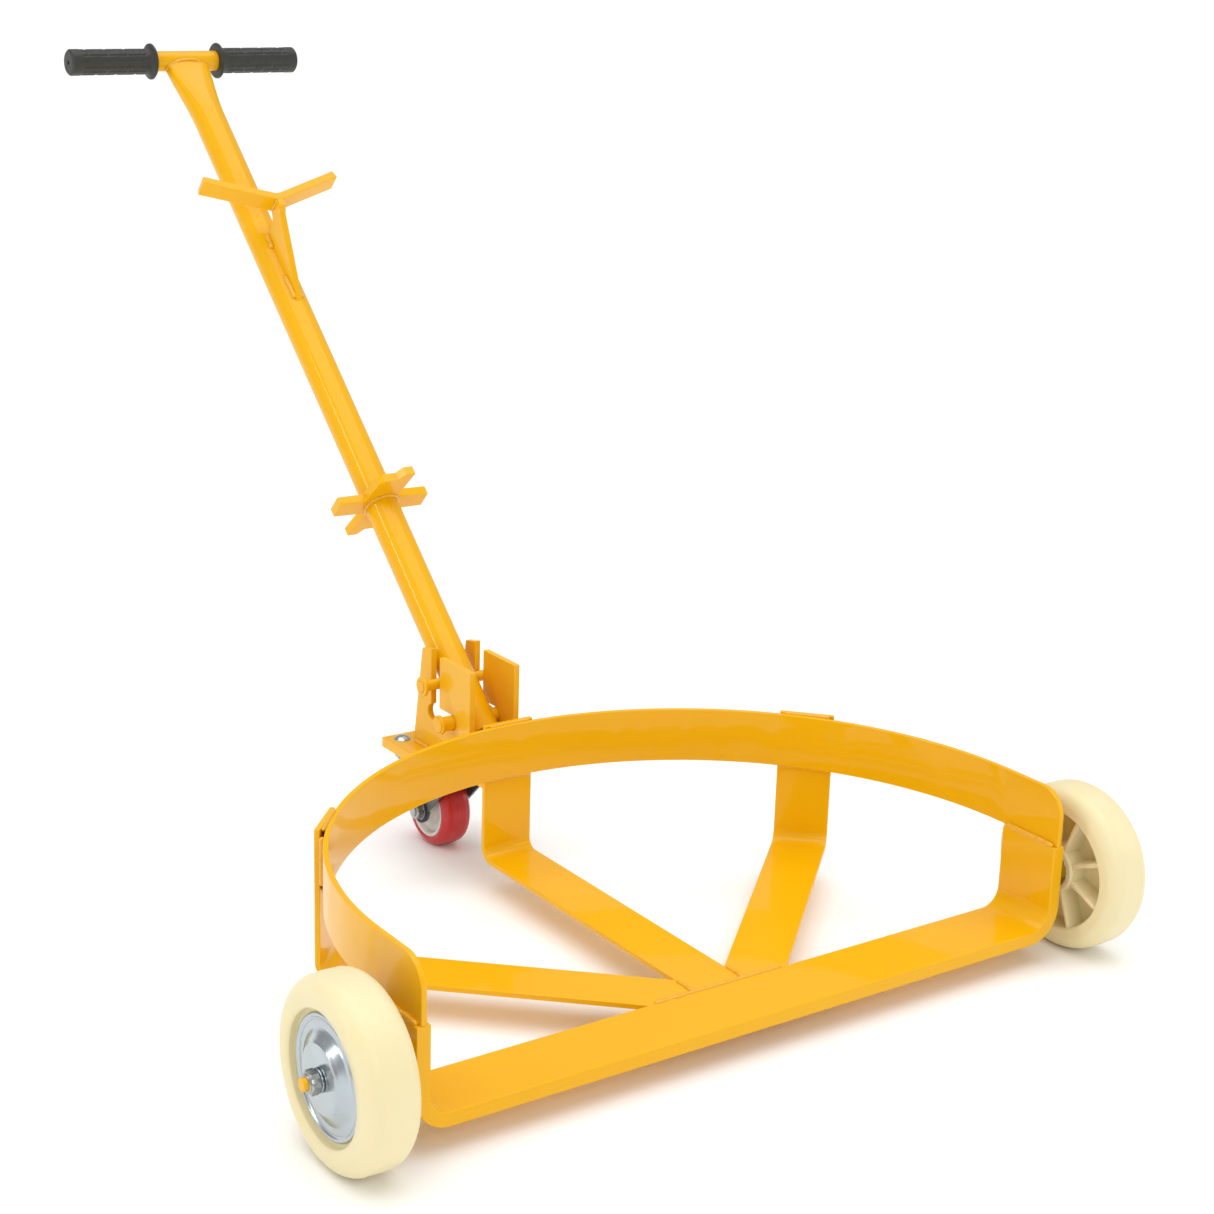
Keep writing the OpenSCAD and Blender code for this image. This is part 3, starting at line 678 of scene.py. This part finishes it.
@dataclass
class SideWheel:
    """One cast nylon wheel with its pressed hub cap and locknut.

    Attributes:
        side: The side it is on.
        inner: Distance of its inner face from the middle of the dolly.
        axle_y: Axle position along Y.
        radius: Its radius and the height of its axle.
        width: Its width.
        shoulder: Radius of its rounded edges.
        recess_r: Radius of the outer recess.
        recess: Depth of the outer recess.
        pocket_r: Radius of the ribbed pocket on the inside.
        pocket: Depth of that pocket.
        hub_r: Radius of the hub in the pocket.
        ribs: Number of ribs.
        rib_dip: How far the ribs stand back from the inner face.
        disc_r: Radius of the cap's raised middle.
        rise: How far the middle stands up.
        nut_from: Start of the nut from the wheel's inner face.
    """

    side: Side
    inner: float = 343.7
    axle_y: float = -41.0
    radius: float = 75.0
    width: float = 46.0
    shoulder: float = 15.0
    recess_r: float = 51.5
    recess: float = 7.0
    pocket_r: float = 54.0
    pocket: float = 20.0
    hub_r: float = 21.0
    ribs: int = 8
    rib_dip: float = 2.6
    disc_r: float = 27.6
    rise: float = 6.5
    nut_from: float = 48.9

    @property
    def place(self) -> Matrix:
        """The wheel's frame: local Z outwards from its inner face."""
        return axle_place(self.inner, self.axle_y, self.radius, self.side)

    @property
    def body(self) -> Body:
        """The frame body this wheel turns with."""
        return Body.WHEEL_RIGHT if self.side is Side.RIGHT else Body.WHEEL_LEFT

    @property
    def tag(self) -> str:
        """The side's name in lower case."""
        return self.side.name.lower()

    def tyre(self) -> bpy.types.Object:
        """Turns the nylon body: crowned tread, lips, recess, pocket and web.

        Returns:
            The wheel's object.
        """
        r, w, s = self.radius, self.width, self.shoulder
        flat = [(r, s + i * (w - 2 * s) / 6) for i in range(7)]
        crown = [(x - 0.35 * abs(2 * (z - w / 2) / (w - 2 * s)) ** 2, z) for x, z in flat]
        low = [(r - s + s * math.sin(a), s - s * math.cos(a))
               for a in (math.radians(9 * i) for i in range(1, 10))]
        high = [(x, w - z) for x, z in reversed(low)]
        outside = [(self.recess_r + 2.0, w), (self.recess_r, w - 1.6),
                   (self.recess_r - 0.3, w - self.recess),
                   (13, w - self.recess)]
        inside = [(13, 0.6), (self.hub_r - 1.5, 0.6), (self.hub_r, 2.0),
                  (self.hub_r + 0.8, self.pocket),
                  (self.pocket_r - 1.6, self.pocket), (self.pocket_r, 2.0),
                  (self.pocket_r + 1.5, 0.0)]
        profile = fillet(inside, 2.2)[:-1] + [inside[-1]] + low + crown + high
        profile += fillet(outside, 1.4)
        verts, faces = lathe(profile, self.place)
        return make(f"tyre_{self.tag}", verts, faces, CAST_NYLON, self.body, sharp=50)

    def rib(self, index: int) -> tuple[list, list]:
        """One tapered rib between the hub and the pocket's wall.

        Args:
            index: Which rib, counted round the wheel.

        Returns:
            Vertices and faces.
        """
        spin = Matrix.Rotation(2 * math.pi * (index + 0.5) / self.ribs, 4, "Z")
        rings, dip = [], self.rib_dip
        for x in (self.hub_r - 2, self.hub_r + 3, 36, self.pocket_r - 4, self.pocket_r + 1):
            half = 1.7 + 0.8 * abs(x - 37) / 17
            ring = [(-half - 0.9, self.pocket + 1), (-half, dip + 1.2), (-half + 0.8, dip),
                    (half - 0.8, dip), (half, dip + 1.2), (half + 0.9, self.pocket + 1)]
            rings.append([self.place @ spin @ (Vector((x, y, z)) * MM) for y, z in ring])
        return loft(rings)

    def spokes(self) -> bpy.types.Object:
        """Builds all the ribs as one piece.

        Returns:
            The ribs' object.
        """
        verts, faces = [], []
        for i in range(self.ribs):
            v, f = self.rib(i)
            faces += [tuple(k + len(verts) for k in face) for face in f]
            verts += v
        return make(f"wheel_ribs_{self.tag}", verts, faces, CAST_NYLON, self.body,
                    sharp=60)

    def cap(self) -> bpy.types.Object:
        """Presses the hub cap: rolled rim, groove, flat ring, cone and raised disc.

        Returns:
            The cap's object.
        """
        base = self.width - self.recess
        top = base + self.rise
        hill = [(7.2, top + 1.2), (9.0, top + 1.5), (self.disc_r - 4.0, top + 1.5),
                (self.disc_r - 1.0, top + 1.3),
                (self.disc_r + 1.2, top - 0.3), (35.0, base + 2.3), (37.0, base + 1.3),
                (42.3, base + 1.3),
                (43.2, base + 0.8), (44.2, base + 1.4), (45.4, base + 2.3), (46.8, base + 2.4),
                (47.9, base + 1.6), (48.3, base + 0.5)]
        profile = fillet(hill, 1.6, 4) + [(48.2, base + 0.1), (36, base + 0.2), (self.disc_r, top),
                                          (7.2, top)]
        verts, faces = lathe(profile, self.place)
        return make(f"cap_{self.tag}", verts, faces, BRIGHT_ZINC, self.body, sharp=50)

    def nut(self) -> bpy.types.Object:
        """Cuts the locknut that holds the wheel on its stub.

        Returns:
            The nut's object.
        """
        place = self.place @ Matrix.Translation(Vector((0, 0, self.nut_from * MM)))
        verts, faces = hexagon_nut(17, 7.5, 5.1, place, collar=1.5)
        return make(f"locknut_{self.tag}", verts, faces, TURNED_ZINC, Body.CARRIAGE,
                    sharp=28)

    def seal(self) -> bpy.types.Object:
        """Adds the bearing's black seal around the stub on the inside.

        Returns:
            The seal's object.
        """
        profile = fillet([(7, 0.2), (15.8, 0.2), (15.8, 1.6), (7, 1.6)], 0.5)
        verts, faces = lathe(profile, self.place, 72)
        return make(f"bearing_seal_{self.tag}", verts, faces, SEAL_RUBBER, self.body)

    def build(self) -> int:
        """Builds the wheel and hides the plain nodes it stands for.

        Returns:
            The number of pieces built.
        """
        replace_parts(self.tyre(), f"wheel_{self.tag}")
        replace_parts(self.cap(), f"hub_cap_{self.tag}")
        self.spokes()
        self.seal()
        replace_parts(self.nut(), "axle_nuts")
        return 5


# ---- Caster ----


@dataclass
class Caster:
    """The three-inch swivel caster behind the ring.

    Attributes:
        swivel_y: Position of the swivel axis.
        axle_y: Position of the wheel's axle.
        radius: Wheel radius and axle height.
        width: Width of the tread.
        core_r: Radius of the wheel's core.
        fork_out: Half the fork's outside width.
        race_z: Height of the middle of the ball race.
        plate_z: Underside of the top plate.
        bolt_x: Bolt positions on either side of the middle.
        bolt_y: Bolt positions before and behind the swivel axis.
    """

    swivel_y: float = 418.0
    axle_y: float = 445.0
    radius: float = 38.0
    width: float = 32.0
    core_r: float = 28.0
    fork_out: float = 21.5
    race_z: float = 92.3
    plate_z: float = 97.475
    bolt_x: float = 35.5
    bolt_y: float = 38.0

    @property
    def place(self) -> Matrix:
        """The wheel's frame: local Z along +X from its middle."""
        return axle_place(0, self.axle_y, self.radius, Side.RIGHT)

    def tread(self) -> bpy.types.Object:
        """Turns the tread with rounded shoulders and a moulding line.

        Returns:
            The tread's object.
        """
        h, r = self.width / 2, self.radius
        half = [(self.core_r - 0.2, -h + 1.2), (self.core_r + 1.6, -h), (r - 6, -h + 0.4),
                (r - 1.2, -h + 4.2), (r - 0.1, -h + 9), (r, -1.2), (r, -0.3), (r + 0.25, 0)]
        profile = fillet(half, 4.0) + [(x, -z) for x, z in reversed(fillet(half, 4.0)[:-1])]
        verts, faces = lathe(profile, self.place, 120)
        return make("caster_tread_turned", verts, faces, CAST_URETHANE, Body.CASTER_WHEEL,
                    sharp=60)

    def core(self) -> bpy.types.Object:
        """Turns the core with its dished web and hub.

        Returns:
            The core's object.
        """
        h = self.width / 2
        half = [(self.core_r, -h + 1.0), (self.core_r - 3.2, -h + 1.2),
                (self.core_r - 4.6, -h + 6.5), (16, -h + 8),
                (12, -h + 4), (11.4, -h - 1.4), (9.4, -h - 1.5)]
        rounded = fillet(half, 1.6)
        profile = rounded + [(x, -z) for x, z in reversed(rounded)]
        verts, faces = lathe(profile, self.place, 96)
        return make("caster_core_turned", verts, faces, MOULDED_CORE, Body.CASTER_WHEEL,
                    sharp=50)

    def race_cover(self) -> bpy.types.Object:
        """Presses the cup that shrouds the swivel balls.

        Returns:
            The cup's object.
        """
        z = self.race_z
        line = fillet([(22, z + 5.0), (28.8, z + 5.0), (30.2, z + 2), (30.2, z - 3.4),
                       (28.0, z - 4.6)], 1.8)
        profile = line + [(27.2, z - 4.0), (29.2, z - 2.8), (29.2, z + 2), (28.2, z + 4.2),
                          (22, z + 4.2)]
        place = Matrix.Translation(Vector((0, self.swivel_y, 0)) * MM)
        verts, faces = lathe(profile, place, 96)
        return make("race_cover", verts, faces, BRIGHT_ZINC, Body.FORK, sharp=40)

    def fasteners(self) -> int:
        """Cuts the axle's nut and head and the plate's nuts with their chamfers.

        Returns:
            The number of pieces made.
        """
        start = self.fork_out + 1.6
        count = 0
        for side in Side:
            place = axle_place(start, self.axle_y, self.radius, side)
            verts, faces = hexagon_nut(16, 6.2, 5.0, place)
            nut = make(f"caster_nut_{side.name.lower()}", verts, faces, TURNED_ZINC, Body.FORK,
                       sharp=28)
            if side is Side.LEFT:
                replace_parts(nut, "caster_axle_nut")
            ring = fillet([(10.4, -1.7), (13.2, -1.7), (13.2, -0.2), (10.4, -0.2)], 0.5)
            verts, faces = lathe(ring, place, 72)
            make(f"caster_seal_{side.name.lower()}", verts, faces, SEAL_RUBBER, Body.FORK)
            count += 2
        corners = [(a * self.bolt_x, self.swivel_y + b * self.bolt_y)
                   for a in (-1, 1) for b in (-1, 1)]
        for i, (x, y) in enumerate(corners):
            spot = Matrix.Translation(Vector((x, y, self.plate_z)) * MM)
            place = spot @ Matrix.Rotation(math.pi, 4, "X")
            verts, faces = hexagon_nut(12.7, 5.1, 4.02, place, collar=1.7)
            nut = make(f"plate_nut_{i}", verts, faces, TURNED_ZINC, Body.CARRIAGE, sharp=28)
            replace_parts(nut, "caster_bolt_nuts")
            count += 1
        return count

    def build(self) -> int:
        """Builds the caster's finer pieces; the rest is dressed with the hardware.

        Returns:
            The number of pieces built.
        """
        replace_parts(self.tread(), "caster_tread")
        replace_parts(self.core(), "caster_core")
        self.race_cover()
        return 3 + self.fasteners()


# ---- Handle ----


@dataclass
class Handle:
    """The tee handle with its grips, bung wrench, vee and cross rods.

    Attributes:
        foot_y: Position of the lower rod along Y.
        foot_z: Height of the lower rod.
        lean: Lean above the floor in degrees.
        tube_r: Tube radius.
        wall: Tube wall.
        length: Lower rod to crossbar.
        foot: How far the tube runs below the lower rod.
        cross_r: Crossbar radius.
        flare: Half the width of the flattened top.
        pinch: Half the thickness of the flattened top.
        flare_from: Where the flattening starts.
        grip_from: Inner end of the grips.
        grip_to: Outer end of the grips.
        grip_r: Grip radius.
        flange_r: Radius of the grips' flanges.
    """

    foot_y: float = 379.966
    foot_z: float = 148.5
    lean: float = 42.5
    tube_r: float = 16.7
    wall: float = 3.2
    length: float = 830.0
    foot: float = 18.0
    cross_r: float = 10.65
    flare: float = 23.8
    pinch: float = 8.6
    flare_from: float = 742.0
    grip_from: float = 36.5
    grip_to: float = 131.0
    grip_r: float = 13.5
    flange_r: float = 19.0

    @property
    def place(self) -> Matrix:
        """The handle's frame: local Z up the tube, local -Y to its front side."""
        turn = Matrix.Rotation(math.radians(self.lean - 90), 4, "X")
        return Matrix.Translation(Vector((0, self.foot_y, self.foot_z)) * MM) @ turn

    def tube(self) -> bpy.types.Object:
        """Lofts the tube: open cut foot, round shaft, smoothly flattened top.

        Returns:
            The tube's object.
        """
        def section(s: float, shrink: float) -> list[Vector]:
            """One ring of the tube's outside or inside at s."""
            t = min(max((s - self.flare_from) / (self.length - 6 - self.flare_from), 0), 1)
            ease = t * t * (3 - 2 * t)
            a = self.tube_r + (self.flare - self.tube_r) * ease**1.25 - shrink
            b = self.tube_r + (self.pinch - self.tube_r) * ease - shrink
            power = 2 / (2 + 1.3 * ease)
            ring = []
            for k in range(72):
                u = 2 * math.pi * k / 72
                c, d = math.cos(u), math.sin(u)
                x = math.copysign(abs(c) ** power, c) * a
                y = math.copysign(abs(d) ** power, d) * b
                ring.append(self.place @ (Vector((x, y, s)) * MM))
            return ring

        low = -self.foot
        levels = [low + 60 * i for i in range(12)]
        levels += [self.flare_from - 20 + 4.6 * i for i in range(23)]
        levels = [s for s in levels if s <= self.length - 3]
        rings = [section(low + 40, self.wall), section(low + 0.5, self.wall),
                 section(low, self.wall - 0.5),
                 section(low, 0.5), section(low + 0.15, 0.15), section(low + 0.5, 0)]
        rings += [section(s, 0) for s in levels[1:]]
        verts, faces = loft(rings)
        return make("tube_lofted", verts, faces, POWDER_COAT, Body.HANDLE, sharp=60)

    def grip(self, side: Side) -> bpy.types.Object:
        """Moulds one grip: flange, staggered lengthwise bars, smooth closed end.

        Args:
            side: The side it is on.

        Returns:
            The grip's object.
        """
        r, start, end = self.grip_r, self.grip_from, self.grip_to
        head = fillet([(self.cross_r + 0.1, start), (self.flange_r - 1.4, start + 0.2),
                       (self.flange_r, start + 1.6),
                       (self.flange_r - 0.3, start + 3.4), (r + 2.6, start + 4.4),
                       (r + 0.6, start + 6.2), (r, start + 9)], 1.2, 4)
        lines = [(z, rad, 0.0) for rad, z in head]
        first, last, step = start + 10, end - 12, 0.75
        count = round((last - first) / step)
        lines += [(first + i * step, r, 1.0) for i in range(count + 1)]
        tail = fillet([(r, end - 11.5), (r + 0.25, end - 11), (r + 0.25, end - 1.8), (r - 1.8, end),
                       (2.2, end), (2.0, end - 2.5), (0.01, end - 2.5)], 1.0, 4)
        lines += [(z, rad, 0.0) for rad, z in tail]
        place = self.place @ Matrix.Translation(Vector((0, 0, self.length * MM)))
        turn = Matrix.Rotation(math.radians(90 * side.value), 4, "Y")
        rings, around = [], 168
        for z, rad, patterned in lines:
            ring = []
            for k in range(around):
                a = 2 * math.pi * k / around
                cut = 0.0
                if patterned:
                    bar = a / (2 * math.pi) * 14
                    shift = 11.0 if int(bar) % 2 else 0.0
                    across = abs(bar % 1 - 0.5)
                    along = abs(((z - first + shift) % 22.0) - 11.0)
                    groove = max(min((across - 0.30) / 0.08, 1), 0)
                    gap = max(min((along - 9.2) / 0.7, 1), 0)
                    fade = min(1, (z - first) / 2, (last - z) / 2)
                    cut = 0.75 * max(groove, gap) * max(fade, 0)
                spot = Vector(((rad - cut) * math.cos(a), (rad - cut) * math.sin(a), z))
                ring.append(place @ turn @ (spot * MM))
            rings.append(ring)
        verts, faces = loft(rings)
        return make(f"grip_moulded_{side.name.lower()}", verts, faces, GRIP_VINYL, Body.HANDLE,
                    sharp=50)

    def seams(self) -> list[Bead]:
        """Lists every weld of the handle.

        Returns:
            The beads, not yet built.
        """
        def bead(name: str, path: Sequence[Sequence[float]], width: float) -> Bead:
            """One bead given in the handle's frame."""
            return Bead(name, path, width, Body.HANDLE, self.place)

        top = [Vector((p.x, p.y, self.length - math.sqrt(max(self.cross_r**2 - p.y**2, 0)) - 0.6))
               for p in arc((0, 0, 0), (self.flare + 0.4, 0, 0), (0, self.pinch + 0.5, 0),
                             0, 356, 96)]
        r = self.tube_r + 0.4
        beads = [bead("weld_crossbar", top, 3.4),
                 bead("weld_wrench_low", arc((0, 0, 244.6), (0, -r, 0), (r, 0, 0), -150, 150, 60),
                      4.0),
                 bead("weld_wrench_high", arc((0, 0, 254.4), (0, -r, 0), (r, 0, 0), -175, 175, 60),
                      4.4)]
        for side in Side:
            s, tag = side.value, side.name.lower()
            for part, span in (("low", (491, 520)), ("high", (556, 573))):
                beads.append(bead(f"weld_gusset_{part}_{tag}", [(s * 4.2, -17.1, k) for k in span],
                                  5.0))
            beads.append(bead(f"weld_vee_{tag}", [(s * 3.4, -y, 583.4) for y in (44, 60)], 2.4))
            for part, s0, rod in (("low", 0.0, 7.0), ("high", 42.5, 5.25)):
                hole = arc((0, 0, 0), (rod + 0.8, 0, 0), (0, rod + 0.8, 0), 0, 350, 36)
                path = [(s * (math.sqrt(max(self.tube_r**2 - p.x * p.x, 1)) + 0.3), p.x, s0 + p.y)
                        for p in hole]
                beads.append(bead(f"weld_rod_{part}_{tag}", path, 2.6))
        return beads

    def build(self) -> int:
        """Builds the handle's finer pieces, dresses the rest and lays its welds.

        Returns:
            The number of pieces built.
        """
        for node, width in (("crossbar", 0.4), ("bung_wrench", 0.8), ("v_arms", 0.9),
                            ("v_gusset", 0.5),
                            ("lower_rod", 0.9), ("upper_rod", 0.9), ("lower_rod_washers", 0.6),
                            ("upper_rod_washers", 0.6)):
            soften(node, POWDER_COAT, width)
        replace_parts(self.tube(), "handle_tube")
        for side in Side:
            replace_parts(self.grip(side), f"grip_{side.name.lower()}")
        beads = self.seams()
        for seam in beads:
            seam.build()
        return 3 + len(beads)


# ---- Studio ----


@dataclass(frozen=True)
class SoftBox:
    """One rectangular soft light.

    Attributes:
        name: Its name.
        at: Its position in metres.
        aim: The point it faces.
        size: Its width and height in metres.
        power: Its power in watts.
    """

    name: str
    at: tuple[float, float, float]
    aim: tuple[float, float, float]
    size: Point
    power: float

    def hang(self) -> None:
        """Hangs the light in the studio."""
        data = bpy.data.lights.new(self.name, "AREA")
        data.shape = "RECTANGLE"
        data.size, data.size_y = self.size
        data.energy = self.power
        lamp = bpy.data.objects.new(self.name, data)
        facing = (Vector(self.aim) - Vector(self.at)).to_track_quat("-Z", "Y")
        spot = Matrix.Translation(Vector(self.at) + RING_CENTRE)
        lamp.matrix_world = spot @ facing.to_matrix().to_4x4()
        bpy.context.scene.collection.objects.link(lamp)


SOFT_BOXES = (
    SoftBox("key_softbox", (-1.0, -3.0, 2.0), (0, 0.1, 0.1), (2.0, 1.4), 22),
    SoftBox("left_strip", (-2.4, 0.9, 1.2), (0, 0.6, 0.35), (0.22, 2.2), 12),
    SoftBox("right_fill", (2.6, -1.6, 1.4), (0, 0, 0.1), (1.4, 1.4), 10),
)


@dataclass
class Studio:
    """A white studio: pale floor, large soft lights and the camera.

    Attributes:
        eye: Camera position in metres.
        azimuth: Camera azimuth in degrees.
        elevation: Camera elevation in degrees.
        roll: Camera roll in degrees.
        lens: Focal length for a 36 mm wide sensor.
        floor_half: Half the side of the floor in metres.
        room: Brightness of the white room.
        ceiling: Strength of the soft light from above.
        ceiling_angle: Spread of that light in degrees.
    """

    eye: tuple[float, float, float] = (-1.0853, -1.3566, 0.8822)
    azimuth: float = -35.36
    elevation: float = 16.89
    roll: float = 1.79
    lens: float = 68.39
    floor_half: float = 60.0
    room: float = 0.52
    ceiling: float = 1.8
    ceiling_angle: float = 70.0

    def camera(self) -> None:
        """Places the camera."""
        a, e, r = (math.radians(v) for v in (self.azimuth, self.elevation, self.roll))
        back = Vector((math.sin(a) * math.cos(e), -math.cos(a) * math.cos(e), math.sin(e)))
        right = Vector((math.cos(a), math.sin(a), 0))
        up = back.cross(right)
        right, up = right * math.cos(r) + up * math.sin(r), up * math.cos(r) - right * math.sin(r)
        data = bpy.data.cameras.new("studio_camera")
        data.lens = self.lens
        data.sensor_width = 36
        data.clip_end = 500
        camera = bpy.data.objects.new("studio_camera", data)
        axes = Matrix((right, up, back)).transposed().to_4x4()
        camera.matrix_world = Matrix.Translation(Vector(self.eye) + RING_CENTRE) @ axes
        bpy.context.scene.collection.objects.link(camera)
        bpy.context.scene.camera = camera

    def build(self) -> None:
        """Lays the floor, fills the room with light and places the camera."""
        half = self.floor_half
        corners = [(-half, -half, 0), (half, -half, 0), (half, half, 0), (-half, half, 0)]
        mesh = bpy.data.meshes.new("floor")
        mesh.from_pydata(corners, [], [(0, 1, 2, 3)])
        mesh.materials.append(FLOOR_CARD.build())
        floor = bpy.data.objects.new("floor", mesh)
        bpy.context.scene.collection.objects.link(floor)
        world = bpy.data.worlds.new("white_room")
        world.use_nodes = True
        room = world.node_tree.nodes["Background"]
        room.inputs["Color"].default_value = linear("#ffffff")
        room.inputs["Strength"].default_value = self.room
        bpy.context.scene.world = world
        sky = bpy.data.lights.new("ceiling", "SUN")
        sky.energy, sky.angle = self.ceiling, math.radians(self.ceiling_angle)
        ceiling = bpy.data.objects.new("ceiling", sky)
        bpy.context.scene.collection.objects.link(ceiling)
        for box in SOFT_BOXES:
            box.hang()
        bpy.context.scene.view_settings.view_transform = "Standard"
        self.camera()


def dress_hardware() -> int:
    """Gives the small hardware its surfaces, also where a finer piece stands for it.

    Returns:
        The number of nodes dressed.
    """
    count = 0
    for finish, nodes in CAD_FINISHES.items():
        for node in nodes:
            soften(node, finish, HARDWARE_EDGE)
            count += 1
    return count


def main() -> None:
    """Builds every sub-assembly in order."""
    logging.basicConfig(level=logging.INFO, format="%(name)s: %(message)s")
    random.seed(7)
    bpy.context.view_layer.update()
    steps: list[tuple[str, Callable[[], object]]] = [
        ("hardware", dress_hardware),
        ("chassis", Chassis().build), ("left wheel", SideWheel(Side.LEFT).build),
        ("right wheel", SideWheel(Side.RIGHT).build),
        ("caster", Caster().build), ("handle", Handle().build),
        ("studio", Studio().build),
    ]
    for name, step in steps:
        LOG.info("%s: %s", name, step())


if __name__ == "__main__":
    main()
